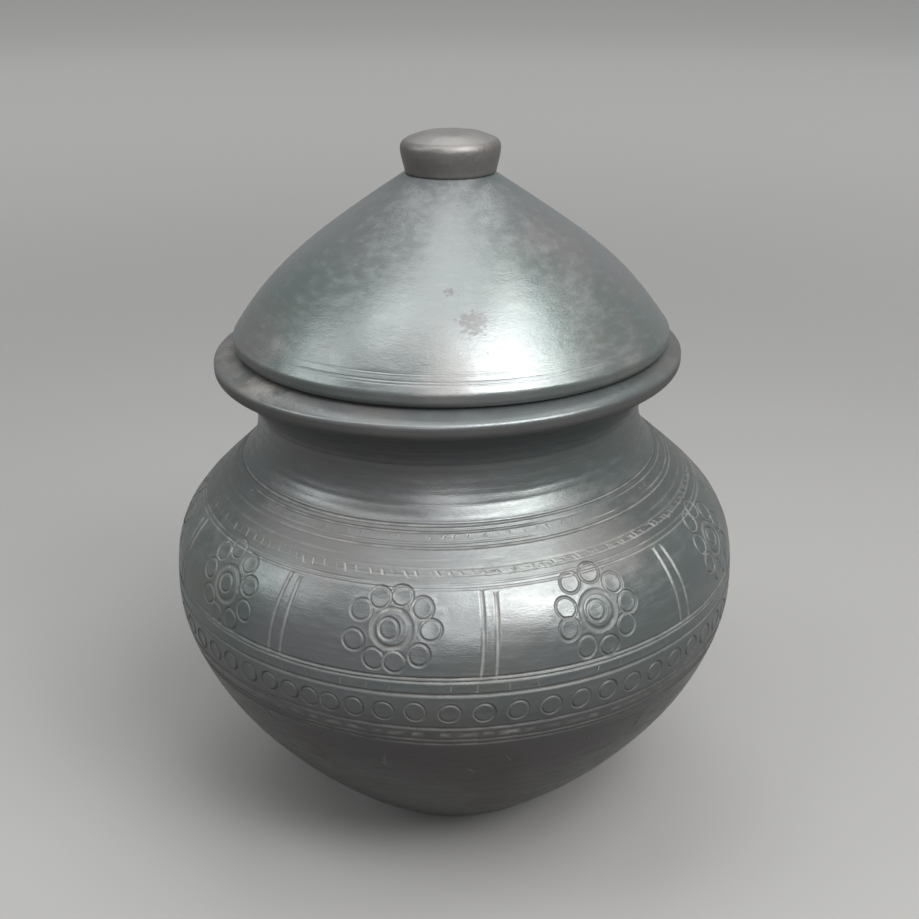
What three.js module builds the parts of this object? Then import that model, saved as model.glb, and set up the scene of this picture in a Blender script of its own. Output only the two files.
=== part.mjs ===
// A wheel-made, burnished black clay pot with a lift-off lid.
// Three fired-clay pieces: the pot itself, the hollow conical lid, and the drum-shaped knob
// luted onto the lid. Millimetres, +Z up, origin at the middle of the flat base.
import * as THREE from 'three';

// ---- Driving dimensions ----------------------------------------------------------------------

const bellyRadius = 100;       // widest part of the body
const bellyHeight = 93;        // how high the widest part is
const baseRadius = 35;         // flat foot that the pot stands on
const neckFootRadius = 72.7;   // groove where the shoulder turns into the neck
const neckFootHeight = 138.5;
const waistRadius = 66.6;      // narrowest part of the neck
const waistHeight = 152.5;
const potWall = 6;
const floorThickness = 7;

const rimRadius = 80;          // outermost reach of the rim
const rimCornerRadius = 1.4;   // crisp upper corner of the rim
const rimCornerHeight = 172.7;
const rimRollRadius = 3;       // fuller roll below it
const rimRollHeight = 171.1;
const rimSlope = 17;           // degrees: the rim's top face drops outwards, and the lid rests on it
const mouthRadius = 3.2;       // round edge between the top face and the throat
const faceInnerRadius = 66.8;  // where the top face ends at the mouth

const lidRadius = 74.3;        // rounded lower edge of the lid
const lidWall = 5;
const lidShoulderHeight = 180.4; // where the upright edge turns into the cone
const seatGap = 0.3;           // clearance between pieces that touch
const lidTopHeight = 232.2;    // little flat that the knob is luted onto

const knobBaseRadius = 15.1;
const knobTopRadius = 16.5;    // the knob flares upwards
const knobEdgeRadius = 2.6;    // soft edge round its top
const totalHeight = 244.5;

const roundSegments = 56;      // facets round the pot and the lid
const knobSegments = 40;

// ---- Outline helpers -------------------------------------------------------------------------
// Outlines are drawn as half sections: x is the distance from the axis, y is the height.

const degree = Math.PI / 180;

function point(radius, height) {
  return new THREE.Vector2(radius, height);
}

function stepAlong(start, angle, length) {
  return point(start.x + length * Math.cos(angle * degree), start.y + length * Math.sin(angle * degree));
}

// A smooth stretch that leaves `start` and arrives at `end` in the two given directions (degrees).
function sweep(start, startAngle, startPull, end, endAngle, endPull) {
  return new THREE.CubicBezierCurve(
    start,
    stepAlong(start, startAngle, startPull),
    stepAlong(end, endAngle + 180, endPull),
    end,
  );
}

function arc(centre, radius, fromAngle, toAngle) {
  return new THREE.EllipseCurve(
    centre.x, centre.y, radius, radius,
    fromAngle * degree, toAngle * degree, toAngle < fromAngle,
  );
}

// The same stretch moved sideways by the wall thickness, which gives the inside of a wall.
function offsetPoints(curve, distance, steps) {
  const moved = [];
  for (let i = 0; i <= steps; i += 1) {
    const along = curve.getTangent(i / steps);
    const at = curve.getPoint(i / steps);
    moved.push(point(at.x - along.y * distance, at.y + along.x * distance));
  }
  return moved;
}

function withoutRepeats(points) {
  return points.filter((p, i) => i === 0 || p.distanceTo(points[i - 1]) > 0.05);
}

function revolve(points, segments) {
  const solid = new THREE.LatheGeometry(withoutRepeats(points), segments);
  solid.rotateX(Math.PI / 2);
  return solid;
}

// ---- Pot: flat base, globular body, concave neck, flared rim ------------------------------------

const rimRoll = point(rimRadius - rimRollRadius, rimRollHeight);
const rimCorner = point(rimRadius - rimCornerRadius, rimCornerHeight);
const rimUnderside = -60;                  // where the roll leaves the neck
const faceAngle = 90 - rimSlope;           // which way the top face looks

const belly = point(bellyRadius, bellyHeight);
const neckFoot = point(neckFootRadius, neckFootHeight);
const waist = point(waistRadius, waistHeight);
const rimStart = stepAlong(rimRoll, rimUnderside, rimRollRadius);
const faceOuter = stepAlong(rimCorner, faceAngle, rimCornerRadius);
const faceInner = stepAlong(
  faceOuter, 180 - rimSlope, (faceOuter.x - faceInnerRadius) / Math.cos(rimSlope * degree),
);
const mouth = stepAlong(faceInner, faceAngle + 180, mouthRadius);
const mouthEnd = 172;                      // where the round edge runs into the throat

const lowerBody = sweep(point(baseRadius, 0), 37.5, 23.4, belly, 90, 38.3);
const shoulder = sweep(belly, 90, 23, neckFoot, 138, 27.4);
const neckHollow = sweep(neckFoot, 138, 5, waist, 90, 6);
const neckFlare = sweep(waist, 90, 6.5, rimStart, rimUnderside + 90, 7);
const innerWaist = point(waistRadius - potWall, waistHeight);
const throatStart = stepAlong(mouth, mouthEnd, mouthRadius);
const throat = sweep(throatStart, mouthEnd + 90, 8, innerWaist, 270, 7);

function potOutline() {
  const innerNeck = offsetPoints(neckHollow, potWall, 4).reverse();
  const innerShoulder = offsetPoints(shoulder, potWall, 8).reverse();
  const innerBody = offsetPoints(lowerBody, potWall, 10).reverse();
  return [
    point(0, 0),
    ...lowerBody.getPoints(12),
    ...shoulder.getPoints(10),
    ...neckHollow.getPoints(4),
    ...neckFlare.getPoints(5),
    ...arc(rimRoll, rimRollRadius, rimUnderside, 0).getPoints(4),
    ...arc(rimCorner, rimCornerRadius, 0, faceAngle).getPoints(4),
    ...arc(mouth, mouthRadius, faceAngle, mouthEnd).getPoints(5),
    ...throat.getPoints(4),
    ...innerNeck,
    ...innerShoulder,
    ...innerBody.filter((p) => p.y > floorThickness + 1),
    point(0, floorThickness),
  ];
}

// ---- Lid: hollow cone with a thick rounded edge --------------------------------------------------

const lidEdgeRadius = lidWall / 2;
const lidEdge = point(lidRadius - lidEdgeRadius, 0);
// The edge's round section rests on the rim's top face, seatGap clear of it.
const faceUnderEdge = faceOuter.y + (faceOuter.x - lidEdge.x) * Math.tan(rimSlope * degree);
lidEdge.y = faceUnderEdge + (lidEdgeRadius + seatGap) / Math.cos(rimSlope * degree);

const lidSlope = 55.5;         // degrees from level just above the edge
const lidCrownSlope = 33.3;    // and beside the knob
const lidShoulderRadius = 1.6;

const lidShoulderCentre = point(lidRadius - lidShoulderRadius, lidShoulderHeight);
const lidShoulder = arc(lidShoulderCentre, lidShoulderRadius, 0, 90 - lidSlope);
const lidConeStart = stepAlong(lidShoulderCentre, 90 - lidSlope, lidShoulderRadius);
const lidConeEnd = point(knobBaseRadius - 0.1, lidTopHeight);
const lidCone = sweep(lidConeStart, 180 - lidSlope, 24, lidConeEnd, 180 - lidCrownSlope, 42.4);
const lidCeiling = lidTopHeight - 1.1 * lidWall;

function lidOutline() {
  const inside = offsetPoints(lidCone, lidWall, 10).filter(
    (p) => p.y < lidCeiling - 0.5 && p.y > lidEdge.y + 1,
  );
  return [
    point(0, lidCeiling),
    ...inside.reverse(),
    ...arc(lidEdge, lidEdgeRadius, 180, 360).getPoints(8),
    ...lidShoulder.getPoints(3),
    ...lidCone.getPoints(13),
    point(0, lidTopHeight),
  ];
}

// ---- Knob: solid drum, a little wider at its top --------------------------------------------------

const knobBase = lidTopHeight + seatGap;
const knobDome = 0.9;          // how much its top rises in the middle
const knobEdge = point(knobTopRadius - knobEdgeRadius, totalHeight - knobDome - knobEdgeRadius);

function knobOutline() {
  const side = sweep(point(knobBaseRadius, knobBase), 84, 3, point(knobTopRadius, knobEdge.y), 90, 3);
  return [
    point(0, knobBase),
    ...side.getPoints(4),
    ...arc(knobEdge, knobEdgeRadius, 0, 84).getPoints(6),
    point(knobEdge.x * 0.5, totalHeight - knobDome * 0.3),
    point(0, totalHeight),
  ];
}

// ---- Assembly ------------------------------------------------------------------------------------

function clay(color, roughness, metalness) {
  return new THREE.MeshStandardMaterial({ color, roughness, metalness });
}

function piece(name, geometry, material) {
  const mesh = new THREE.Mesh(geometry, material);
  mesh.name = name;
  return mesh;
}

const pot = piece('pot_body', revolve(potOutline(), roundSegments), clay(0x3c4244, 0.42, 0.25));
const lid = piece('lid', revolve(lidOutline(), roundSegments), clay(0x474e50, 0.36, 0.3));
const knob = piece('lid_knob', revolve(knobOutline(), knobSegments), clay(0x403c3c, 0.45, 0.2));

const lidGroup = new THREE.Group();
lidGroup.add(lid, knob);

const model = new THREE.Group();
model.add(pot, lidGroup);

export default model;
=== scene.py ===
import math
import random

import bmesh
import bpy
import numpy as np
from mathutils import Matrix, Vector
from mathutils.geometry import delaunay_2d_cdt


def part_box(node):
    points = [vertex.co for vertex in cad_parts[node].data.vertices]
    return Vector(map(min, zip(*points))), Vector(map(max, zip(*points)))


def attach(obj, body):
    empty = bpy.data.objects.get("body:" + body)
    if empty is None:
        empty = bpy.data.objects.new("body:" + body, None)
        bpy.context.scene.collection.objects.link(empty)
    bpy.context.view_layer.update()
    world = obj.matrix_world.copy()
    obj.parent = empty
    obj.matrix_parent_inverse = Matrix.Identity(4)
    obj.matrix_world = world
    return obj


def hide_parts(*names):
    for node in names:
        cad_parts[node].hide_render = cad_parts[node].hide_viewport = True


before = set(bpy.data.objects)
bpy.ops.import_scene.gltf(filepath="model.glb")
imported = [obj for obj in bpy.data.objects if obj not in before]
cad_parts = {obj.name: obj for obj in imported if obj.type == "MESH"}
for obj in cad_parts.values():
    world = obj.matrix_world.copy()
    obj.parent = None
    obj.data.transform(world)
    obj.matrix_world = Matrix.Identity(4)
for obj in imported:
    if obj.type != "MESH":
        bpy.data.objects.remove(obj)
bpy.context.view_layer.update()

pot_low, pot_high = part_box("pot_body")
MM = (pot_high.x - pot_low.x) / 200
FULL_TURN = 2 * math.pi

# ---- Sizes, in millimetres ----

BELLY_RADIUS = 100
BELLY_HEIGHT = 93
FOOT_RADIUS = 33
FOOT_ROUNDING = 6
NECK_FOOT = (72.7, 138.5)
WAIST = (66.6, 152.5)
POT_WALL = 6
FLOOR = 7
RIM_ROLL = (77, 171.1)    # fuller roll round the rim's underside
RIM_ROLL_RADIUS = 3
RIM_CORNER = (78.7, 172.7)
RIM_CORNER_RADIUS = 1.3   # crisp corner above it
RIM_SLOPE = 17            # degrees: the rim's top face drops outwards
MOUTH_RADIUS = 3.2        # round edge between the top face and the throat
FACE_INNER_RADIUS = 66.8

LID_RADIUS = 74.3
LID_WALL = 5
LID_EDGE_RADIUS = 2.2
LID_EDGE_HEIGHT = 178.5
LID_SHOULDER_RADIUS = 1.5
LID_SHOULDER_HEIGHT = 180.4
LID_SLOPE = 55.5
LID_TOP = 232.2
LID_ROOF = 6.5            # clay under the knob
KNOB_BASE_RADIUS = 15.1
KNOB_TOP_RADIUS = 16.5
TOTAL_HEIGHT = 244.5
KNOB_DOME = 0.8           # the hand-rounded top stands a little above the turned height

# What the hand did, in millimetres and degrees: the rim and the lid lean and sit off the axis.
RIM_SHIFT = -2.3
RIM_TILT = 1.1
LID_SHIFT = -0.9
LID_TILT = 0.62
KNOB_SHIFT = 0.5          # on the lid
REST_GAP = 0.1

COLUMNS = 144             # facets round the pot's outside
INNER_COLUMNS = 72
LID_COLUMNS = 200
KNOB_COLUMNS = 120


# ---- Outlines ----
# A half section is a row of (distance from the axis, height) points.

def step(start, angle, length):
    turn = math.radians(angle)
    return (start[0] + length * math.cos(turn), start[1] + length * math.sin(turn))


def sweep(start, start_angle, start_pull, end, end_angle, end_pull, count=120):
    """A smooth stretch that leaves start and arrives at end in the two given directions."""
    p = [np.array(q, float) for q in (
        start, step(start, start_angle, start_pull), step(end, end_angle + 180, end_pull), end)]
    t = np.linspace(0, 1, count)[:, None]
    return ((1 - t) ** 3 * p[0] + 3 * (1 - t) ** 2 * t * p[1]
            + 3 * (1 - t) * t ** 2 * p[2] + t ** 3 * p[3])


def arc(centre, radius, start_angle, end_angle, count=60):
    turn = np.radians(np.linspace(start_angle, end_angle, count))
    return np.stack([centre[0] + radius * np.cos(turn), centre[1] + radius * np.sin(turn)], 1)


def moved_in(points, distance):
    """The same stretch moved to its left by the wall thickness, followed backwards."""
    along = np.gradient(points, axis=0)
    along /= np.linalg.norm(along, axis=1)[:, None]
    inside = points + distance * np.stack([-along[:, 1], along[:, 0]], 1)
    return inside[::-1]


class Outline:
    """A half section, read by the length along it from its first point."""

    def __init__(self, *stretches):
        points = np.concatenate([np.array(s, float).reshape(-1, 2) for s in stretches])
        gaps = np.linalg.norm(np.diff(points, axis=0), axis=1)
        points = points[np.concatenate([[True], gaps > 1e-4])]
        gaps = np.linalg.norm(np.diff(points, axis=0), axis=1)
        self.points = points
        self.length = np.concatenate([[0], np.cumsum(gaps)])
        along = np.gradient(points, self.length, axis=0)
        along /= np.linalg.norm(along, axis=1)[:, None]
        self.out = np.stack([along[:, 1], -along[:, 0]], 1)

    def at(self, length):
        radius, height = (np.interp(length, self.length, c) for c in self.points.T)
        out_radius, out_height = (np.interp(length, self.length, c) for c in self.out.T)
        size = np.hypot(out_radius, out_height)
        return radius, height, out_radius / size, out_height / size

    def nearest(self, point):
        return self.length[np.argmin(np.linalg.norm(self.points - np.array(point), axis=1))]

    def end(self):
        return self.length[-1]


def smooth(value):
    t = np.clip(value, 0, 1)
    return t * t * (3 - 2 * t)


def rim_face_end():
    start = step(RIM_CORNER, 90 - RIM_SLOPE, RIM_CORNER_RADIUS)
    across = start[0] - FACE_INNER_RADIUS
    return (FACE_INNER_RADIUS, start[1] + across * math.tan(math.radians(RIM_SLOPE)))


def pot_outline():
    foot = arc((FOOT_RADIUS, FOOT_ROUNDING), FOOT_ROUNDING, -90, -52.5)
    belly = (BELLY_RADIUS, BELLY_HEIGHT)
    lower = sweep(foot[-1], 37.5, 22, belly, 90, 38.3, 300)
    shoulder = sweep(belly, 90, 23, NECK_FOOT, 138, 27.4, 200)
    neck = sweep(NECK_FOOT, 138, 5, WAIST, 90, 6)
    flare = sweep(WAIST, 90, 6.5, step(RIM_ROLL, -60, RIM_ROLL_RADIUS), 30, 7)
    roll = arc(RIM_ROLL, RIM_ROLL_RADIUS, -60, 0)
    corner = arc(RIM_CORNER, RIM_CORNER_RADIUS, 0, 90 - RIM_SLOPE)
    face = sweep(corner[-1], 180 - RIM_SLOPE - 4, 4, rim_face_end(), 180 - RIM_SLOPE + 2, 4, 40)
    mouth_centre = step(rim_face_end(), 270 - RIM_SLOPE + 2, MOUTH_RADIUS)
    mouth = arc(mouth_centre, MOUTH_RADIUS, 92 - RIM_SLOPE, 172)
    throat = sweep(mouth[-1], 262, 8, (WAIST[0] - POT_WALL, WAIST[1]), 270, 7)
    inner_body = moved_in(lower, POT_WALL)
    inner_body = inner_body[inner_body[:, 1] > 2 * FLOOR]
    last = inner_body[-1] - inner_body[-2]
    floor_angle = math.degrees(math.atan2(last[1], last[0]))
    floor = sweep(inner_body[-1], floor_angle, 12, (0, FLOOR), 180, 26)
    return Outline(
        (0, 0), (FOOT_RADIUS * 0.5, 0), foot, lower, shoulder, neck, flare, roll, corner,
        face, mouth, throat, moved_in(neck, POT_WALL), moved_in(shoulder, POT_WALL),
        inner_body, floor)


POT = pot_outline()
OUTSIDE_END = POT.nearest(rim_face_end())
_outside = POT.length <= OUTSIDE_END


def on_pot(height):
    """Length along the pot's outside at a height."""
    return np.interp(height, POT.points[_outside][:, 1], POT.length[_outside])


# ---- Ornament ----
# Every cut is given by its angle round the pot (0 at the front, growing to the right) and the
# length along the outline. A groove has a flat bed and a slightly raised lip on each side.
# A cut's guides are rows of points that the mesh follows, at offsets given in widths from its
# middle. measure() says how many widths off the middle a point lies, and how deep the cut is.

FRONT_FLOWERS = (-48.6, -10.8, 27.7, 67.0)
FRONT_DIVIDERS = ((-32.4, -2.6), (7.3, -1.6), (47.3, 1.7), (84.5, 0.8))  # degrees, lean in mm
PANELS_BEHIND = 6         # evenly spaced, unlike the front ones
PANEL_STEP = 34.7
BACK_FLOWERS = tuple(100.5 + PANEL_STEP * k for k in range(PANELS_BEHIND))
BACK_DIVIDERS = tuple((117.9 + PANEL_STEP * k, 0.0) for k in range(PANELS_BEHIND))
PANEL_BOTTOM = 100.4
PANEL_TOP = 124.5
ROSETTE_HEIGHT = 114.9
EYE_RADIUS = 3.1          # ring in the middle of a flower
CROWN_RADIUS = 5.85       # wide ring round it
PETALS = 9
PETAL_RADIUS = 3.32
PETAL_REACH = 11.3
DIVIDER_HALF_GAP = 2.3
ROW_HEIGHT = 88.9
ROW_RING_RADIUS = 3.25
ROW_STEP = 5.55           # degrees from ring to ring
TICK_HEIGHT = 128.0
DIMPLE_HEIGHT = 80.4
SEAM = math.pi            # behind the pot, where no stamp lies
SHEET_RADIUS = 95         # radius at which the flat drawing of the ornament is unrolled

hand = random.Random(7)


def wrapped(turn):
    """The same direction as an angle from -180 to 180 degrees."""
    return (turn + 180) % 360 - 180


def wander(amount):
    return hand.uniform(-amount, amount)


def periodic(theta, seed, amount, waves=(2, 3, 5, 9)):
    """A wobble that closes on itself round the pot."""
    dice = random.Random(seed)
    total = np.zeros_like(theta)
    for k in waves:
        total += dice.uniform(0.4, 1) / k ** 0.5 * np.sin(k * theta + dice.uniform(0, FULL_TURN))
    return amount * total / 1.6


def on_right(theta):
    """1 on the right of the pot, where the tool was pressed harder, and 0 on its left."""
    return 0.5 + 0.5 * np.tanh(2.2 * np.sin(theta + 0.15))


class Ring:
    """One print of a cut tube, never quite round or evenly deep."""

    steepness = 7
    offsets = (-1.4, -0.9, -0.6, -0.4, 0.4, 0.6, 0.9, 1.4)

    def __init__(self, theta, length, radius, width=0.78, depth=0.38, around=20):
        self.theta, self.length, self.radius = theta, length, radius
        self.width, self.depth, self.around = width, depth * hand.uniform(0.75, 1.25), around
        self.squash = 1 + wander(0.05)
        self.turn = hand.uniform(0, math.pi)
        self.lean = hand.uniform(0.1, 0.45)
        self.lean_turn = hand.uniform(0, FULL_TURN)
        self.scale = float(POT.at(length)[0])
        self.reach = radius * 1.1 + 2 * width

    def guides(self):
        turn = np.linspace(0, FULL_TURN, self.around, endpoint=False)
        for offset in self.offsets:
            r = self.radius + offset * self.width
            x = r * np.cos(turn - self.turn) * self.squash
            y = r * np.sin(turn - self.turn) / self.squash
            across = x * math.cos(self.turn) - y * math.sin(self.turn)
            up = x * math.sin(self.turn) + y * math.cos(self.turn)
            yield self.theta + across / self.scale, self.length + up, True

    def measure(self, theta, length):
        across = (theta - self.theta) * self.scale
        up = length - self.length
        x = (across * math.cos(self.turn) + up * math.sin(self.turn)) / self.squash
        y = (-across * math.sin(self.turn) + up * math.cos(self.turn)) * self.squash
        off = np.abs(np.hypot(x, y) - self.radius)
        depth = self.depth * (1 + self.lean * np.cos(np.arctan2(up, across) - self.lean_turn))
        return off / self.width, depth


class Stroke:
    """One short cut from a start to an end, both given as (across, up) from its place."""

    steepness = 4
    offsets = (-1.5, -0.8, -0.3, 0.3, 0.8, 1.5)

    def __init__(self, theta, length, start, end, width, depth, bend=0.0, spacing=1.2):
        self.theta, self.length = theta, length
        self.start, self.end = np.array(start, float), np.array(end, float)
        self.width, self.depth, self.bend, self.spacing = width, depth, bend, spacing
        self.scale = float(POT.at(length)[0])
        self.reach = max(np.abs(self.start).max(), np.abs(self.end).max()) + 2 * width
        along = self.end - self.start
        self.size = float(np.linalg.norm(along))
        self.along = along / self.size
        self.side = np.array([-self.along[1], self.along[0]])

    def guides(self):
        count = max(2, int(self.size / self.spacing) + 1)
        t = np.linspace(0, 1, count)
        sway = self.bend * np.sin(math.pi * t)
        for offset in self.offsets:
            shift = sway + offset * self.width
            p = self.start + np.outer(t * self.size, self.along) + np.outer(shift, self.side)
            yield self.theta + p[:, 0] / self.scale, self.length + p[:, 1], False

    def measure(self, theta, length):
        p = np.stack([(theta - self.theta) * self.scale, length - self.length], 1) - self.start
        t = p @ self.along / self.size
        off = p @ self.side - self.bend * np.sin(math.pi * np.clip(t, 0, 1))
        past = np.maximum(0, np.maximum(-t, t - 1)) * self.size
        return np.hypot(off, past) / self.width, np.full(len(theta), self.depth)


class Band:
    """A line turned or drawn right round the pot.

    broken is the share of it that fades out, sway how far it strays up and down, and left how
    deep it is on the pot's left, as a share of its depth on the right.
    """

    steepness = 3
    offsets = (-1.4, -0.9, -0.6, -0.35, 0.35, 0.6, 0.9, 1.4)

    def __init__(self, height, width, depth, broken=0.0, sway=0.16, left=1.0):
        self.length = float(on_pot(height))
        self.width, self.depth = width, depth
        self.broken, self.sway, self.left = broken, sway, left
        self.seed = int(height * 10)

    def centre(self, theta):
        return self.length + periodic(theta, self.seed, self.sway)

    def guides(self):
        theta = np.linspace(-SEAM, SEAM, COLUMNS + 1)
        for offset in self.offsets:
            yield theta, self.centre(theta) + offset * self.width, False

    def measure(self, theta, length):
        off = np.abs(length - self.centre(theta)) / self.width
        fade = periodic(theta, self.seed + 1, 1.0, (3, 7, 11, 17, 29))
        depth = self.depth * (1 + 0.25 * periodic(theta, self.seed + 2, 1.0, (4, 9, 23)))
        if self.broken:
            depth = depth * smooth((fade + 1.1 - 2 * self.broken) / 0.5)
        return off, depth * (self.left + (1 - self.left) * on_right(theta))


def make_bands():
    return [
        Band(138.5, 0.8, 0.55, sway=0.1),
        Band(137.0, 0.65, 0.34, broken=0.3, sway=0.2),
        Band(134.7, 0.6, 0.26, broken=0.35, left=0.15),
        Band(133.5, 0.75, 0.42, broken=0.15, left=0.2),
        Band(130.9, 0.9, 0.08, broken=0.4, sway=0.4),
        Band(129.2, 0.7, 0.12, broken=0.2, sway=0.3, left=0.1),
        Band(127.6, 0.7, 0.15, broken=0.15, sway=0.3, left=0.15),
        Band(125.7, 0.6, 0.16, broken=0.35),
        Band(124.6, 0.7, 0.2, left=0.8),
        Band(100.9, 0.9, 0.55, sway=0.12),
        Band(99.6, 0.8, 0.4, sway=0.12),
        Band(95.2, 1.0, 0.48),
        Band(83.0, 1.05, 0.48),
        Band(78.1, 0.8, 0.38),
        Band(76.3, 0.8, 0.38),
        Band(58.9, 0.5, 0.16, broken=0.62, sway=0.3),
    ]


def rosette(turn):
    """A small ring in a wide one, in a crown of petals pressed one by one."""
    theta = math.radians(turn)
    length = float(on_pot(ROSETTE_HEIGHT)) + wander(0.6)
    radius = float(POT.at(length)[0])
    stamps = [
        Ring(theta + wander(0.9) / radius, length + wander(0.6), EYE_RADIUS, 0.85, 0.42),
        Ring(theta, length, CROWN_RADIUS, 1.45, 0.42, around=30),
    ]
    start = hand.uniform(0, FULL_TURN)
    for k in range(PETALS):
        angle = start + FULL_TURN * k / PETALS + wander(0.07)
        reach = PETAL_REACH + wander(0.7) + 0.6 * math.cos(2 * (angle - start))
        up = reach * math.sin(angle)
        across = reach * math.cos(angle)
        stamps.append(Ring(theta + across / radius, length + up, PETAL_RADIUS))
    return stamps


def ring_row():
    """Rings pressed side by side round the belly, crowded here and there."""
    rings = []
    length = float(on_pot(ROW_HEIGHT))
    turn = -180 + 6.2
    while turn < 180 - 2.4:
        rings.append(Ring(math.radians(turn), length + wander(0.35), ROW_RING_RADIUS, 0.7))
        crowd = math.exp(-((turn + 29) / 9) ** 2) + 0.7 * math.exp(-((turn - 118) / 10) ** 2)
        loose = math.exp(-(turn / 22) ** 2)
        turn += ROW_STEP + 0.4 * loose - 1.5 * crowd + wander(0.2)
    return rings


def divider(turn, lean):
    """Two lines drawn down from the shoulder band to the belly band, leaning by lean."""
    top, bottom = on_pot(PANEL_TOP), on_pot(PANEL_BOTTOM)
    middle, half = (top + bottom) / 2, (top - bottom) / 2
    lines = []
    for side in (-DIVIDER_HALF_GAP, DIVIDER_HALF_GAP):
        theta = math.radians(turn) + side / BELLY_RADIUS
        start = (wander(0.35), half - hand.uniform(0.2, 1.4))
        end = (lean + wander(0.35), -half + hand.uniform(-0.4, 0.9))
        lines.append(Stroke(theta, middle, start, end, 0.8, 0.36, wander(0.5), 1.6))
    return lines


def slanted_nicks():
    """Little cuts between the two shoulder bands: slanted here, nearly upright there."""
    cuts = []
    length = float(on_pot(TICK_HEIGHT))
    radius = float(POT.at(length)[0])
    along = 2.0
    while along < FULL_TURN * radius - 4.0:
        theta = -SEAM + along / radius
        slanted = float(on_right(theta))
        lean = 0.12 + 0.8 * slanted + wander(0.15)
        deepest = 0.13 + 0.17 * slanted
        together = hand.choice((1, 2, 2, 3)) if slanted > 0.5 else 1
        for _ in range(together):
            tall = hand.uniform(0.6, 0.95) * (1.5 - 0.5 * slanted)
            cuts.append(Stroke(-SEAM + along / radius, length + wander(0.35), (-lean * tall, tall),
                               (lean * tall, -tall), hand.uniform(0.4, 0.6),
                               hand.uniform(0.03, deepest)))
            along += hand.uniform(1.1, 1.9)
        along += hand.uniform(1.4, 3.2)
    return cuts


def upright_nicks(height, spacing, tall, width, depth):
    """Small nicks right round the pot, uneven and with some left out."""
    cuts = []
    length = float(on_pot(height))
    radius = float(POT.at(length)[0])
    count = int(FULL_TURN * radius / spacing)
    for k in range(count):
        theta = -SEAM + (k + 0.5) * FULL_TURN / count + wander(0.2) * spacing / radius
        if hand.random() < 0.3:
            continue
        size = tall * hand.uniform(0.6, 1.1)
        lean = wander(0.25)
        cuts.append(Stroke(theta, length + wander(0.2), (-lean, size / 2), (lean, -size / 2),
                           width, depth * hand.uniform(0.5, 1.1), spacing=0.8))
    return cuts


def dimples(height, spacing):
    """Shallow dents pressed side by side, each wider than tall."""
    cuts = []
    length = float(on_pot(height))
    radius = float(POT.at(length)[0])
    count = int(FULL_TURN * radius / spacing)
    for k in range(count):
        theta = -SEAM + (k + 0.5) * FULL_TURN / count + wander(0.12) * spacing / radius
        half = hand.uniform(0.5, 0.8)
        dent = Stroke(theta, length + wander(0.2), (-half, wander(0.3)), (half, wander(0.3)),
                      1.2, hand.uniform(0.12, 0.26), spacing=0.6)
        dent.steepness = 2
        cuts.append(dent)
    return cuts


def stray_scratches():
    """Knocks and slips of the tool on the plain wall below the bands."""
    cuts = []
    for k in range(26):
        theta = math.radians(-168 + 13 * k + wander(4))
        length = float(on_pot(hand.uniform(60, 73)))
        size, lean = hand.uniform(0.7, 1.8), wander(1.2)
        cuts.append(Stroke(theta, length, (-lean, size), (lean, -size), 0.4, 0.16))
    return cuts


def make_cuts():
    cuts = []
    for turn in FRONT_FLOWERS + BACK_FLOWERS:
        cuts += rosette(wrapped(turn))
    for turn, lean in FRONT_DIVIDERS + BACK_DIVIDERS:
        cuts += divider(wrapped(turn), lean)
    cuts += ring_row()
    cuts += slanted_nicks()
    cuts += upright_nicks(136.0, 4.2, 1.2, 0.35, 0.09)
    cuts += upright_nicks(97.6, 9.0, 2.4, 0.5, 0.1)
    cuts += dimples(DIMPLE_HEIGHT, 7.0)
    cuts += stray_scratches()
    return cuts


def carve(theta, length, cuts, bands):
    """The relief, how far each point lies in the matt bed of a cut, and on a cut's wall, darkened
    there as painted shade.
    """
    bed, ridge, worn, painted_groove_shade = (np.zeros(len(theta)) for _ in range(4))

    def press(where, steepness, off, depth):
        floor = np.exp(-(off / 0.5) ** steepness)
        lips = np.exp(-((off - 0.85) / 0.25) ** 2)
        bed[where] = np.maximum(bed[where], depth * floor)
        ridge[where] = np.maximum(ridge[where], 0.16 * depth * lips)
        matt = np.clip(depth / 0.2, 0, 1) * np.exp(-(off / 0.38) ** 4)
        # Painted shade: darker colour on the cut's steep walls, which are also rougher.
        dark = np.clip((depth - 0.12) / 0.18, 0, 1) * np.exp(-((off - 0.5) / 0.13) ** 2)
        worn[where] = np.maximum(worn[where], matt)
        painted_groove_shade[where] = np.maximum(painted_groove_shade[where], dark)

    order = np.argsort(theta, kind="stable")
    ranked = theta[order]
    for cut in cuts:
        reach = cut.reach / cut.scale
        first, last = np.searchsorted(ranked, (cut.theta - reach, cut.theta + reach))
        near = order[first:last]
        near = near[np.abs(length[near] - cut.length) < cut.reach]
        if len(near):
            press(near, cut.steepness, *cut.measure(theta[near], length[near]))
    for band in bands:
        near = np.nonzero(np.abs(length - band.length) < 3)[0]
        press(near, band.steepness, *band.measure(theta[near], length[near]))
    return ridge * (1 - worn) - bed, worn, painted_groove_shade


# ---- Surface of the pot ----

def hand_waves(theta, height, seed, amount):
    """Slow unevenness left by beating and burnishing, closed round the axis."""
    dice = random.Random(seed)
    total = np.zeros(len(theta))
    for _ in range(14):
        around = dice.randint(2, 13)
        upward = dice.uniform(-1, 1) * 0.16
        phase = dice.uniform(0, FULL_TURN)
        total += np.sin(around * theta + upward * height + phase) / (1 + 0.12 * around)
    return amount * total / 3.2


def turning_lines(theta, length, first, last, count, depth, seed, broadest=0.75):
    """Fine lines left by the wheel between two lengths along the outline."""
    dice = random.Random(seed)
    total = np.zeros(len(theta))
    for k in range(count):
        centre = first + (last - first) * (k + dice.uniform(0.1, 0.9)) / count
        width = broadest * dice.uniform(0.45, 1)
        strength = depth * dice.uniform(0.25, 1)
        swell = 0.65 + 0.5 * periodic(theta, seed * 50 + k, 1.0, (1, 2, 4))
        off = (length - centre - 0.2 * np.sin(theta + dice.uniform(0, FULL_TURN))) / width
        total -= strength * np.clip(swell, 0, 2) * np.exp(-off ** 2)
    return total


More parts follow.
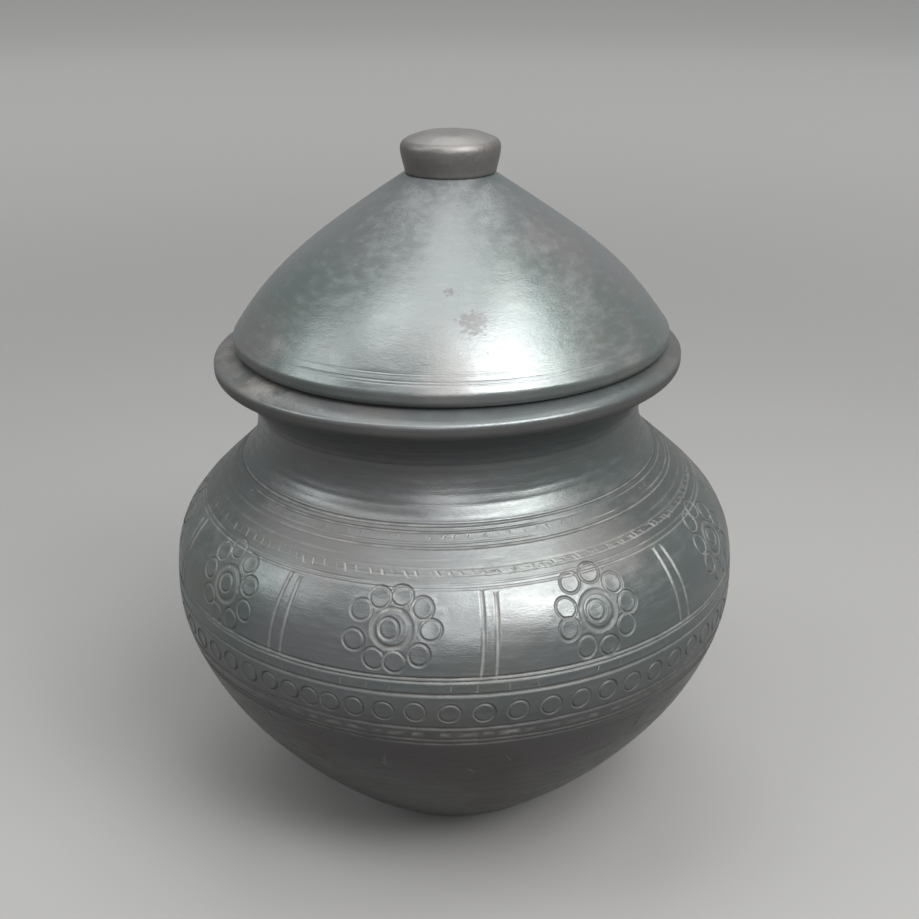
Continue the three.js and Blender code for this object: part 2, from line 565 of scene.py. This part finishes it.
def spot(theta, length, turn, at, wide, tall, radius):
    """1 in the middle of a worn place and 0 away from it."""
    away = (theta - math.radians(turn) + math.pi) % FULL_TURN - math.pi
    return np.exp(-(away * radius / wide) ** 2 - ((length - at) / tall) ** 2)


def spots(theta, length, *places):
    """Worn places added up, each as (strength, turn, length, wide, tall, radius)."""
    return sum(strength * spot(theta, length, *place) for strength, *place in places)


ORNAMENT_LOW = float(on_pot(54.0))
ORNAMENT_HIGH = float(on_pot(139.8))
BAND_TILT = 0.5           # degrees: the ornament doesn't run quite level


def draw_height(theta, length):
    """Moves the straight flat drawing onto the pot, a little out of level."""
    inside = smooth((length - ORNAMENT_LOW) / 14) * smooth((ORNAMENT_HIGH - length) / 3)
    level = BELLY_RADIUS * np.sin(theta) * math.tan(math.radians(BAND_TILT))
    return length + inside * (level + periodic(theta, 3, 0.25))


def round_place(radius, theta, height):
    return np.stack([radius * np.sin(theta), -radius * np.cos(theta), height], 1)


def lean_pot(places):
    """The neck and rim stand a little off the axis and out of level."""
    x, y, z = places.T.copy()
    x = x + RIM_SHIFT * smooth((z - 100) / 65)
    z = z + x * math.tan(math.radians(RIM_TILT)) * smooth((z - 60) / 100)
    return np.stack([x, y, z], 1)


def pot_surface(theta, length, cuts, bands):
    outside = length < OUTSIDE_END
    relief, worn, painted_groove_shade = (np.zeros(len(theta)) for _ in range(3))
    drawn = (length >= ORNAMENT_LOW) & (length <= ORNAMENT_HIGH)
    relief[drawn], worn[drawn], painted_groove_shade[drawn] = carve(theta[drawn], length[drawn], cuts, bands)
    placed = draw_height(theta, length)
    radius, height, out_radius, out_height = POT.at(placed)

    calm = smooth((height - 2) / 12) * smooth(radius / 40)
    relief += hand_waves(theta, height, 11, 0.16) * calm * smooth((170 - height) / 14)
    neck_low, neck_high = on_pot(139.5), on_pot(166.0)
    relief += turning_lines(theta, length, neck_low, neck_high, 26, 0.2, 21) * outside
    inner = length - OUTSIDE_END
    thrown = 0.35 * np.sin(inner / 9 * FULL_TURN + theta)
    relief += thrown * smooth((inner - 20) / 20) * smooth((radius - 8) / 20)
    places = round_place(radius + relief * out_radius, theta, height + relief * out_height)
    return lean_pot(places) * MM, worn, painted_groove_shade


# ---- Meshes ----

def even_rows(start, end, spacing):
    count = max(1, int(round((end - start) / spacing)))
    return np.linspace(start, end, count + 1)


def joined_rows(*stretches):
    rows = np.concatenate(stretches)
    return rows[np.concatenate([[True], np.diff(rows) > 1e-6])]


def ruled_patch(rows, columns):
    """Four-sided facets between rows that run right round."""
    theta = -SEAM + FULL_TURN * np.arange(columns) / columns
    grid_theta, grid_length = np.meshgrid(theta, rows)
    faces = []
    for j in range(len(rows) - 1):
        for k in range(columns):
            n = (k + 1) % columns
            faces.append((j * columns + k, j * columns + n,
                          (j + 1) * columns + n, (j + 1) * columns + k))
    return grid_theta.ravel(), grid_length.ravel(), faces


def halving_patch(length, next_length, columns):
    """Joins a row of columns to the next row, which has half as many."""
    fine = -SEAM + FULL_TURN * np.arange(columns) / columns
    coarse = fine[::2]
    half = columns // 2
    faces = []
    for k in range(half):
        n = (k + 1) % half
        faces.append((2 * k, 2 * k + 1, (2 * k + 2) % columns, columns + n, columns + k))
    theta = np.concatenate([fine, coarse])
    lengths = np.concatenate([np.full(columns, length), np.full(half, next_length)])
    return theta, lengths, faces


def drawn_patch(low, high, cuts, bands):
    """Triangles that follow the edges of every cut between two lengths."""
    points, edges = [], []

    def add(theta, lengths, closed):
        first = len(points)
        points.extend(zip(np.asarray(theta) * SHEET_RADIUS, lengths))
        count = len(points) - first
        edges.extend((first + k, first + k + 1) for k in range(count - 1))
        if closed:
            edges.append((first + count - 1, first))

    columns = np.linspace(-SEAM, SEAM, COLUMNS + 1)
    for row in (low, high):
        add(columns, np.full(COLUMNS + 1, row), False)
    for shape in bands + cuts:
        for theta, lengths, closed in shape.guides():
            add(theta, lengths, closed)

    # The plain parts get points too, where the guides left a square millimetre empty.
    taken = np.zeros((int(2 * SEAM * SHEET_RADIUS) + 2, int(high - low) + 2), bool)
    for u, w in points:
        taken[int(u + SEAM * SHEET_RADIUS), int(w - low)] = True
    for row in even_rows(low, high, 3.0)[1:-1]:
        for theta in columns:
            u = theta * SHEET_RADIUS
            at_seam = abs(abs(theta) - SEAM) < 1e-9
            if at_seam or not taken[int(u + SEAM * SHEET_RADIUS), int(row - low)]:
                points.append((u, row))
    sheet = [Vector(p) for p in points]
    found, _, faces, _, _, _ = delaunay_2d_cdt(sheet, edges, [], 0, 1e-4, False)
    flat = np.array([tuple(p) for p in found])
    return flat[:, 0] / SHEET_RADIUS, flat[:, 1], [tuple(f) for f in faces]


def build_mesh(name, patches, surface):
    """Joins the patches and places them. surface returns the places and the marks of the points."""
    theta = np.concatenate([p[0] for p in patches])
    length = np.concatenate([p[1] for p in patches])
    faces, first = [], 0
    for patch in patches:
        faces += [tuple(first + i for i in f) for f in patch[2]]
        first += len(patch[0])
    places, marks = surface(theta, length)
    mesh = bpy.data.meshes.new(name)
    mesh.from_pydata(places.tolist(), [], faces)
    for key, values in marks.items():
        layer = mesh.attributes.new(key, "FLOAT", "POINT")
        layer.data.foreach_set("value", np.asarray(values, np.float32))

    # Patches are welded to each other here, and the flat drawing to itself behind the pot.
    work = bmesh.new()
    work.from_mesh(mesh)
    bmesh.ops.remove_doubles(work, verts=work.verts, dist=2e-6)
    bmesh.ops.dissolve_degenerate(work, edges=work.edges, dist=1e-7)
    for face in work.faces:
        face.smooth = True
    work.to_mesh(mesh)
    work.free()
    piece = bpy.data.objects.new(name, mesh)
    bpy.context.collection.objects.link(piece)
    return piece


def pole_patch(pole_length, row_length, columns, outward):
    """A fan round the axis. outward says that the row lies further along than the pole."""
    theta = np.concatenate([[0.0], -SEAM + FULL_TURN * np.arange(columns) / columns])
    lengths = np.concatenate([[pole_length], np.full(columns, row_length)])
    faces = []
    for k in range(columns):
        a, b = 1 + k, 1 + (k + 1) % columns
        faces.append((0, b, a) if outward else (0, a, b))
    return theta, lengths, faces


def make_pot():
    bands, cuts = make_bands(), make_cuts()
    foot = POT.nearest((FOOT_RADIUS, 0))
    flare_end = POT.nearest(step(RIM_ROLL, -60, RIM_ROLL_RADIUS))
    corner_start = POT.nearest(step(RIM_CORNER, 0, RIM_CORNER_RADIUS))
    corner_end = POT.nearest(step(RIM_CORNER, 90 - RIM_SLOPE, RIM_CORNER_RADIUS))
    throat_end = POT.nearest((WAIST[0] - POT_WALL, WAIST[1]))
    under = joined_rows(even_rows(6, foot, 3), even_rows(foot, foot + 6, 0.8),
                        even_rows(foot + 6, ORNAMENT_LOW, 3.0))
    above = joined_rows(
        even_rows(ORNAMENT_HIGH, flare_end, 0.6), even_rows(flare_end, corner_start, 0.6),
        even_rows(corner_start, corner_end, 0.3), even_rows(corner_end, OUTSIDE_END, 1.0),
        even_rows(OUTSIDE_END, OUTSIDE_END + 6, 0.8), even_rows(OUTSIDE_END + 6, throat_end, 1.5))
    inner = even_rows(throat_end + 3.5, POT.end() - 6, 3.2)
    patches = [
        pole_patch(0, 6, COLUMNS, True),
        ruled_patch(under, COLUMNS),
        drawn_patch(ORNAMENT_LOW, ORNAMENT_HIGH, cuts, bands),
        ruled_patch(above, COLUMNS),
        halving_patch(throat_end, throat_end + 3.5, COLUMNS),
        ruled_patch(inner, INNER_COLUMNS),
        pole_patch(POT.end(), POT.end() - 6, INNER_COLUMNS, False),
    ]

    def surface(theta, length):
        places, worn, painted_groove_shade = pot_surface(theta, length, cuts, bands)
        inside = smooth((length - OUTSIDE_END - 4) / 10)
        bare = smooth((foot + 3 - length) / 4)
        # Painted shade towards the foot: the lower belly's colour darkens in place of the dark
        # reflection and shade there, and its gloss also falls.
        painted_shade_low_belly = smooth((on_pot(104) - length) / (on_pot(104) - on_pot(66)))
        rim_face = corner_end + 5
        green = spots(theta, length, (1.0, -5, rim_face, 55, 9, 75),
                      (0.8, -58, on_pot(154), 34, 14, 67), (0.6, -42, on_pot(120), 56, 24, 95))
        rubbed = spots(theta, length, (1.0, -84, rim_face, 24, 6, 75),
                       (0.8, -50, rim_face, 16, 5, 75), (0.6, 150, rim_face, 40, 5, 75),
                       (0.3, -72, on_pot(122), 26, 16, 90), (0.3, 100, on_pot(118), 34, 16, 90))

        # Duller clay with painted shade: darker colour and less gloss under the rim, where shade
        # falls, between the shoulder's bands and at the rim's two ends.
        below = smooth((length - flare_end) / 1.5) * smooth((corner_start + 0.2 - length) / 0.8)
        matt_band = smooth((length - on_pot(125)) / 2) * smooth((on_pot(138.5) - length) / 1.5)
        rim_ends = smooth((np.abs(np.sin(theta)) - 0.72) / 0.2)
        on_rim = smooth((length - corner_start) / 2) * (length < OUTSIDE_END + 2)
        dull = below + 0.4 * matt_band + 0.6 * rim_ends * on_rim
        return places, {"cut": worn, "edge": painted_groove_shade, "inside": inside, "bare": bare,
                        "rubbed": rubbed, "dull": dull, "under": painted_shade_low_belly, "green": green}

    piece = build_mesh("pot", patches, surface)
    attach(piece, "pot")
    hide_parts("pot_body")
    return piece


# ---- Lid and knob ----

def resting_rise():
    """How far the leaning lid is raised so that it just touches the leaning rim."""
    rim = POT.points[(POT.length > OUTSIDE_END - 16) & (POT.length < OUTSIDE_END + 6)]
    turn = np.radians(np.linspace(-150, 0, 61))
    edge_radius = LID_RADIUS - LID_EDGE_RADIUS + (LID_EDGE_RADIUS + REST_GAP) * np.cos(turn)
    edge_height = LID_EDGE_HEIGHT + (LID_EDGE_RADIUS + REST_GAP) * np.sin(turn)
    rise = -10.0
    for theta in np.linspace(0, FULL_TURN, 181):
        across = edge_radius * math.sin(theta)
        lid_height = edge_height + across * math.tan(math.radians(LID_TILT))
        rim_radius = rim[::-1, 0] + (RIM_SHIFT - LID_SHIFT) * math.sin(theta)
        lean = rim[::-1, 0] * math.sin(theta) + RIM_SHIFT
        rim_height = rim[::-1, 1] + lean * math.tan(math.radians(RIM_TILT))
        rise = max(rise, float(np.max(np.interp(edge_radius, rim_radius, rim_height) - lid_height)))
    return rise


LID_RISE = resting_rise()


def lid_cone():
    start = step((LID_RADIUS - LID_SHOULDER_RADIUS, LID_SHOULDER_HEIGHT),
                 90 - LID_SLOPE, LID_SHOULDER_RADIUS)
    return sweep(start, 180 - LID_SLOPE, 24, (KNOB_BASE_RADIUS - 0.1, LID_TOP), 180 - 33.3,
                 42.4, 260)


def lid_outline():
    cone = lid_cone()
    inside = moved_in(cone, LID_WALL)
    inside = inside[inside[:, 1] < LID_TOP - 12]
    first = inside[1] - inside[0]
    angle = math.degrees(math.atan2(first[1], first[0]))
    ceiling = sweep((0, LID_TOP - LID_ROOF), 0, 9, inside[0], angle, 9)
    edge = (LID_RADIUS - LID_EDGE_RADIUS, LID_EDGE_HEIGHT)
    inner_foot = (LID_RADIUS - LID_WALL, LID_EDGE_HEIGHT + 1.0)
    inside = inside[inside[:, 1] > inner_foot[1] + 1.5]
    inner_corner = sweep(inner_foot, 270, 2.0, (edge[0], edge[1] - LID_EDGE_RADIUS), 0, 1.4)
    inner_side = sweep(inside[-1], -LID_SLOPE, 1.2, inner_foot, 270, 0.6, 20)
    shoulder = arc((LID_RADIUS - LID_SHOULDER_RADIUS, LID_SHOULDER_HEIGHT),
                   LID_SHOULDER_RADIUS, 0, 90 - LID_SLOPE)
    return Outline(ceiling, inside, inner_side, inner_corner,
                   arc(edge, LID_EDGE_RADIUS, -90, 0), shoulder, cone, (0, LID_TOP))


LID = lid_outline()


def lean_lid(places):
    x, y, z = places.T.copy()
    z = z + LID_RISE + x * math.tan(math.radians(LID_TILT))
    x = x + LID_SHIFT - (z - LID_EDGE_HEIGHT) * math.tan(math.radians(LID_TILT))
    return np.stack([x, y, z], 1)


def make_lid():
    edge_low = LID.nearest((LID_RADIUS - LID_EDGE_RADIUS, LID_EDGE_HEIGHT - LID_EDGE_RADIUS))
    cone_start = LID.nearest(lid_cone()[0])
    cone_end = LID.nearest((KNOB_BASE_RADIUS - 0.1, LID_TOP))
    lines_end = cone_start + 8
    rows = joined_rows(
        even_rows(5, edge_low - 4, 2.6), even_rows(edge_low - 4, cone_start, 0.5),
        even_rows(cone_start, lines_end, 0.16), even_rows(lines_end, cone_end - 1, 1.0),
        even_rows(cone_end - 1, cone_end + 1, 0.4), even_rows(cone_end + 1, LID.end() - 3, 4))
    patches = [
        pole_patch(0, 5, LID_COLUMNS, True),
        ruled_patch(rows, LID_COLUMNS),
        pole_patch(LID.end(), LID.end() - 3, LID_COLUMNS, False),
    ]

    def surface(theta, length):
        radius, height, out_radius, out_height = LID.at(length)
        outside = smooth((length - cone_start) / 3)
        relief = hand_waves(theta, height, 31, 0.17) * outside * smooth((radius - 14) / 10)
        crisp_until = math.cos(math.radians(44))
        front = smooth((np.cos(theta) - crisp_until) / 0.12)
        fine = turning_lines(theta, length, cone_start + 0.5, lines_end - 0.8, 6, 0.15, 41, 0.28)
        relief += fine * (0.25 + 0.75 * front)
        relief += turning_lines(theta, length, lines_end, cone_end - 6, 14, 0.035, 43)
        swell = 0.12 * np.sin(length / 7 * FULL_TURN + theta) * smooth((edge_low - length) / 8)
        relief += swell * smooth((radius - 6) / 12)
        places = round_place(radius + relief * out_radius, theta, height + relief * out_height)
        inside = smooth((edge_low - length) / 6)
        reach = cone_end - cone_start

        def up(share):
            return cone_start + share * reach

        rubbed = spots(theta, length, (0.7, -33, up(0.12), 2, 4, 64),
                       (0.7, -50, up(0.1), 3, 2, 66), (0.5, 140, up(0.5), 16, 10, 45))
        scuff = spots(theta, length, (1.0, 7, up(0.28), 5.5, 6.5, 57),
                      (0.75, 0, up(0.42), 3.5, 2.5, 48), (0.6, 38, up(0.2), 3, 4, 60))
        green = spots(theta, length, (1.0, -46, up(0.5), 26, 24, 45),
                      (0.5, 42, up(0.3), 20, 16, 55))
        # Painted shade on the lid's rounded edge band: darker colour as well as less gloss.
        dull = 0.5 * smooth((length - edge_low) / 2) * smooth((cone_start - 0.6 - length) / 0.8)
        return lean_lid(places) * MM, {"inside": inside, "rubbed": rubbed, "dull": dull,
                                       "scuff": scuff, "green": green}

    piece = build_mesh("lid_cone", patches, surface)
    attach(piece, "lid")
    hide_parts("lid")
    return piece


def make_knob():
    base = LID_TOP + 0.02
    edge_radius = 3.0
    dome = 1.9
    edge = (KNOB_TOP_RADIUS - edge_radius, TOTAL_HEIGHT + KNOB_DOME - dome - edge_radius)
    side = sweep((KNOB_BASE_RADIUS, base + 0.5), 80, 3.2, (KNOB_TOP_RADIUS, edge[1]), 90, 2.6)
    foot = arc((KNOB_BASE_RADIUS - 0.5, base + 0.5), 0.5, -90, -10, 12)
    roll = arc(edge, edge_radius, 0, 68)
    top = sweep(roll[-1], 158, 7, (0, TOTAL_HEIGHT + KNOB_DOME), 180, 7)
    outline = Outline((0, base), foot, side, roll, top)
    rows = joined_rows(even_rows(3, 14, 3), even_rows(14, 32, 0.45),
                       even_rows(32, outline.end() - 2, 1.1))

    def surface(theta, length):
        radius, height, out_radius, out_height = outline.at(length)
        relief = hand_waves(theta, height, 51, 0.10) * smooth((radius - 2) / 10)
        relief *= smooth((height - base) / 3)
        places = round_place(radius + relief * out_radius, theta, height + relief * out_height)
        places[:, 0] += KNOB_SHIFT
        places = lean_lid(places)
        return places * MM, {}

    patches = [
        pole_patch(0, 3, KNOB_COLUMNS, True),
        ruled_patch(rows, KNOB_COLUMNS),
        pole_patch(outline.end(), outline.end() - 2, KNOB_COLUMNS, False),
    ]
    piece = build_mesh("knob", patches, surface)
    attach(piece, "lid")
    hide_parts("lid_knob")
    return piece


# ---- Clay ----

class Nodes:
    """Short words for building a material's nodes."""

    def __init__(self, name):
        self.material = bpy.data.materials.new(name)
        self.material.use_nodes = True
        self.tree = self.material.node_tree
        self.tree.nodes.clear()

    def add(self, kind, **settings):
        node = self.tree.nodes.new(kind)
        for key, value in settings.items():
            setattr(node, key, value)
        return node

    def link(self, source, target):
        self.tree.links.new(source, target)

    def feed(self, socket, value):
        if isinstance(value, bpy.types.NodeSocket):
            self.link(value, socket)
        else:
            socket.default_value = value

    def math(self, operation, first, second=0.0, clamp=False):
        node = self.add("ShaderNodeMath", operation=operation, use_clamp=clamp)
        self.feed(node.inputs[0], first)
        self.feed(node.inputs[1], second)
        return node.outputs[0]

    def plus(self, total, *parts):
        """total with every (value, weight) of parts added."""
        for value, weight in parts:
            total = self.math("ADD", total, self.math("MULTIPLY", value, weight))
        return total

    def vector(self, operation, first, second=(0.0, 0.0, 0.0)):
        node = self.add("ShaderNodeVectorMath", operation=operation)
        self.feed(node.inputs[0], first)
        self.feed(node.inputs[1], second)
        return node.outputs["Vector"]

    def noise(self, vector, scale, detail=3.0, roughness=0.55, distortion=0.0):
        node = self.add("ShaderNodeTexNoise")
        self.link(vector, node.inputs["Vector"])
        node.inputs["Scale"].default_value = scale
        node.inputs["Detail"].default_value = detail
        node.inputs["Roughness"].default_value = roughness
        node.inputs["Distortion"].default_value = distortion
        return node.outputs["Fac"]

    def range(self, value, low, high, new_low=0.0, new_high=1.0):
        node = self.add("ShaderNodeMapRange", interpolation_type="SMOOTHSTEP")
        self.feed(node.inputs["Value"], value)
        node.inputs["From Min"].default_value = low
        node.inputs["From Max"].default_value = high
        node.inputs["To Min"].default_value = new_low
        node.inputs["To Max"].default_value = new_high
        return node.outputs["Result"]

    def blend(self, share, first, second):
        node = self.add("ShaderNodeMix", data_type="RGBA")
        self.feed(node.inputs["Factor"], share)
        self.feed(node.inputs[6], first)
        self.feed(node.inputs[7], second)
        return node.outputs[2]

    def mark(self, name):
        return self.add("ShaderNodeAttribute", attribute_name=name).outputs["Fac"]

    def stretched(self, place, scale):
        node = self.add("ShaderNodeMapping", vector_type="POINT")
        self.link(place, node.inputs["Vector"])
        node.inputs["Scale"].default_value = scale
        return node.outputs["Vector"]

    def finish(self, settings):
        """A principled shader with these inputs, as the material's surface."""
        shader = self.add("ShaderNodeBsdfPrincipled")
        for name, value in settings.items():
            self.feed(shader.inputs[name], value)
        output = self.add("ShaderNodeOutputMaterial")
        self.link(shader.outputs["BSDF"], output.inputs["Surface"])


def grey(red, green, blue):
    return (red, green, blue, 1.0)


RUBBED_CLAY = grey(0.125, 0.112, 0.103)
SCUFFED_CLAY = grey(0.030, 0.026, 0.027)
# Painted shade on the lower belly.
LOWER_PAINTED_SHADE = grey(0.022, 0.018, 0.018)
# Painted shade under the rim and on the lid's edge band, on duller clay.
DULL_PAINTED_SHADE = grey(0.028, 0.027, 0.026)
# Painted shade in the cut walls.
CUT_WALL_SHADE = grey(0.012, 0.012, 0.012)
INNER_CLAY = grey(0.030, 0.028, 0.027)
BARE_CLAY = grey(0.09, 0.08, 0.072)
DARK_DUST = grey(0.08, 0.08, 0.077)
PALE_DUST = grey(0.19, 0.185, 0.175)
WARM_GLOSS = grey(1.0, 0.94, 0.93)
GREEN_GLOSS = grey(0.80, 1.0, 0.95)


class Clay(Nodes):
    """Burnished black clay. Colour, roughness, relief and gloss share its textures and marks."""

    def __init__(self, name, seed):
        super().__init__(name)
        coordinates = self.add("ShaderNodeTexCoord").outputs["Object"]
        place = self.vector("ADD", coordinates, (seed * 0.37, seed * 0.21, seed * 0.13))

        # Direction round the axis, so that strokes run round the pot without a seam.
        around = self.vector("NORMALIZE", self.stretched(coordinates, (1, 1, 0)))
        upright = self.stretched(coordinates, (0, 0, 60))
        stroke_place = self.vector("ADD", around, upright)

        self.clouds = self.noise(place, 13, 2.0, 0.45, 0.4)
        self.patches = self.noise(place, 22, 2.5, 0.5, 0.3)
        self.mottle = self.noise(place, 170, 4.0, 0.62)
        self.grain = self.noise(place, 1500, 3.0, 0.65)
        self.pores = self.noise(place, 620, 2.0, 0.5)
        self.streaks = self.noise(stroke_place, 9, 4.0, 0.6)
        self.fine_streaks = self.noise(stroke_place, 42, 3.0, 0.6)

        self.cut, self.wall = self.mark("cut"), self.mark("edge")
        self.inside, self.bare = self.mark("inside"), self.mark("bare")
        self.dull, self.under = self.mark("dull"), self.mark("under")
        ragged = self.range(self.mottle, 0.36, 0.6)
        self.rubbed = self.math("MULTIPLY", self.mark("rubbed"), ragged, clamp=True)
        torn = self.plus(self.mark("scuff"), (self.mottle, 1.2), (self.pores, 1.6))
        self.scuff = self.range(torn, 1.85, 2.2, 0, 0.7)

    def colour(self, base, cool, warm):
        lighter = grey(*(c * 1.45 for c in base[:3]))
        darker = grey(*(c * 0.62 for c in base[:3]))
        dust = self.blend(self.range(self.mottle, 0.3, 0.7), DARK_DUST, PALE_DUST)
        dusty = self.range(self.patches, 0.3, 0.65, 0.35, 0.8)
        layers = (
            (self.range(self.clouds, 0.38, 0.62), cool),
            (self.range(self.patches, 0.48, 0.7, 0, 0.45), warm),
            (self.range(self.streaks, 0.45, 0.75, 0, 0.3), lighter),
            (self.range(self.mottle, 0.58, 0.85, 0, 0.3), darker),
            (self.math("MULTIPLY", self.rubbed, 0.6), RUBBED_CLAY),
            (self.scuff, SCUFFED_CLAY),
            # Painted shade, darker towards the foot.
            (self.math("MULTIPLY", self.under, 0.75), LOWER_PAINTED_SHADE),
            # Painted shade under the rim and on the lid's edge band.
            (self.math("MULTIPLY", self.dull, 0.75), DULL_PAINTED_SHADE),
            # Painted shade on the cut walls.
            (self.math("MULTIPLY", self.wall, 0.8), CUT_WALL_SHADE),
            (self.math("MULTIPLY", self.cut, dusty), dust),
            (self.math("MULTIPLY", self.inside, 0.7), INNER_CLAY),
            (self.math("MULTIPLY", self.bare, 0.6), BARE_CLAY),
        )
        colour = base
        for share, layer in layers:
            colour = self.blend(share, colour, layer)
        return colour

    def roughness(self, usual):
        sheen = self.range(self.streaks, 0.3, 0.75, usual - 0.05, usual + 0.07)
        sheen = self.plus(sheen, (self.range(self.patches, 0.52, 0.75), 0.12),
                          (self.range(self.pores, 0.6, 0.8), 0.1), (self.cut, 0.25),
                          (self.wall, 0.5), (self.rubbed, 0.22), (self.dull, 0.14),
                          (self.scuff, 0.16), (self.inside, 0.28))
        return self.math("ADD", sheen, self.math("MULTIPLY", self.bare, 0.3), clamp=True)

    def normal(self):
        """The relief that is too fine for the mesh, in millimetres."""
        worn = self.math("MULTIPLY", self.mottle, self.rubbed)
        bump = self.add("ShaderNodeBump")
        bump.inputs["Strength"].default_value = 1.0
        bump.inputs["Distance"].default_value = MM
        relief = self.plus(self.math("MULTIPLY", self.grain, 0.03), (self.fine_streaks, 0.05),
                           (self.streaks, 0.07), (self.mottle, 0.085), (worn, 0.2))
        self.link(relief, bump.inputs["Height"])
        return bump.outputs["Normal"]

    def gloss(self, level):
        burnish = self.range(self.under, 0.0, 1.0, level, 0.3)
        lost = self.math("MULTIPLY", self.plus(self.dull, (self.scuff, 0.6)), 0.4)
        return self.math("SUBTRACT", burnish, lost, clamp=True)

    def gloss_tint(self, tint):
        green = self.math("MULTIPLY", self.mark("green"),
                          self.range(self.clouds, 0.3, 0.6, 0.5, 1.0), clamp=True)
        tint = self.blend(self.range(self.patches, 0.5, 0.7, 0, 0.35), tint, WARM_GLOSS)
        return self.blend(green, tint, GREEN_GLOSS)


def burnished_clay(name, base, cool, warm, gloss_tint, gloss_level, roughness, seed):
    clay = Clay(name, seed)
    clay.finish({
        "Base Color": clay.colour(base, cool, warm),
        "Roughness": clay.roughness(roughness),
        "Normal": clay.normal(),
        "Metallic": 0.35,
        "Specular IOR Level": clay.gloss(gloss_level),
        "Specular Tint": clay.gloss_tint(gloss_tint),
    })
    return clay.material


# ---- Studio ----

def make_camera():
    """The view that the pot is usually seen in: from the front, a little above."""
    distance = 4.587 * BELLY_RADIUS
    elevation = math.radians(22.73)
    aim = Vector((1.9, 0, 129.8))
    back = Vector((0, -math.cos(elevation), math.sin(elevation)))
    data = bpy.data.cameras.new("camera")
    data.sensor_width = 36
    data.lens = 49.9
    data.clip_start = 0.01
    camera = bpy.data.objects.new("camera", data)
    camera.location = (aim + back * distance) * MM
    camera.rotation_euler = (math.pi / 2 - elevation, 0, 0)
    bpy.context.collection.objects.link(camera)
    bpy.context.scene.camera = camera


def paper(name, near, far, roughness):
    """Plain paper, a little darker where the lights are closest."""
    n = Nodes(name)
    coordinates = n.add("ShaderNodeTexCoord").outputs["Object"]
    away = n.add("ShaderNodeVectorMath", operation="LENGTH")
    n.link(coordinates, away.inputs[0])
    tone = n.blend(n.range(away.outputs["Value"], 0.5, 3.2), near, far)
    n.finish({"Base Color": tone, "Roughness": roughness, "Specular IOR Level": 0.2})
    return n.material


def make_floor():
    mesh = bpy.data.meshes.new("floor")
    work = bmesh.new()
    bmesh.ops.create_circle(work, cap_ends=True, radius=12.0, segments=96)
    work.to_mesh(mesh)
    work.free()
    floor = bpy.data.objects.new("floor", mesh)
    floor.location = (0, 0, -0.0002)
    mesh.materials.append(paper(
        "pale_floor", grey(0.125, 0.124, 0.122), grey(0.7, 0.7, 0.69), 0.85))
    bpy.context.collection.objects.link(floor)


SUNNY = (1.0, 0.995, 0.98)
PLAIN = (1.0, 1.0, 1.0)


def soft_light(name, turn, elevation, power, tint, distance=1.4, width=0.55, height=0.55):
    """A soft box that looks at the pot. turn is measured from the front to the right."""
    data = bpy.data.lights.new(name, "AREA")
    data.shape = "RECTANGLE"
    data.size, data.size_y = width, height
    data.energy = power
    data.color = tint
    light = bpy.data.objects.new(name, data)
    turn, elevation = math.radians(turn), math.radians(elevation)
    away = Vector((math.sin(turn) * math.cos(elevation), -math.cos(turn) * math.cos(elevation),
                   math.sin(elevation)))
    aim = Vector((0, 0, 0.13))
    light.location = aim + away * distance
    light.rotation_euler = (-away).to_track_quat("-Z", "Y").to_euler()
    bpy.context.collection.objects.link(light)


def make_lights():
    soft_light("window", 33, 48, 21, SUNNY)
    soft_light("window_left", 14, 56, 10, SUNNY)
    soft_light("window_right", 50, 36, 17, SUNNY)
    soft_light("front", 0, 24, 10, PLAIN)
    soft_light("front_high", -12, 66, 3, PLAIN)
    soft_light("left_low", -80, 33, 8, (0.98, 1.0, 1.0))
    soft_light("left_high", -62, 62, 9, (0.98, 1.0, 0.99))
    soft_light("right_high", 70, 62, 13, (1.0, 0.99, 0.98))
    soft_light("overhead", 0, 88, 6, PLAIN)
    soft_light("back", 180, 58, 14, (0.97, 1.0, 0.98), 1.6, 1.1, 0.5)
    world = bpy.data.worlds.new("studio")
    world.use_nodes = True
    background = world.node_tree.nodes["Background"]
    background.inputs["Color"].default_value = grey(0.95, 0.95, 0.95)
    background.inputs["Strength"].default_value = 0.42
    bpy.context.scene.world = world
    bpy.context.scene.view_settings.view_transform = "Standard"


make_camera()
make_floor()
make_lights()
pot = make_pot()
lid = make_lid()
knob = make_knob()
pot.data.materials.append(burnished_clay(
    "pot_clay", grey(0.044, 0.046, 0.048), grey(0.033, 0.040, 0.039),
    grey(0.053, 0.046, 0.043), grey(0.97, 1.0, 1.0), 0.72, 0.34, 1))
lid.data.materials.append(burnished_clay(
    "lid_clay", grey(0.050, 0.053, 0.055), grey(0.037, 0.048, 0.046),
    grey(0.058, 0.052, 0.049), grey(0.97, 1.0, 1.0), 0.9, 0.33, 2))
knob.data.materials.append(burnished_clay(
    "knob_clay", grey(0.056, 0.050, 0.049), grey(0.046, 0.046, 0.044),
    grey(0.070, 0.056, 0.051), grey(1.0, 0.93, 0.93), 0.7, 0.42, 3))
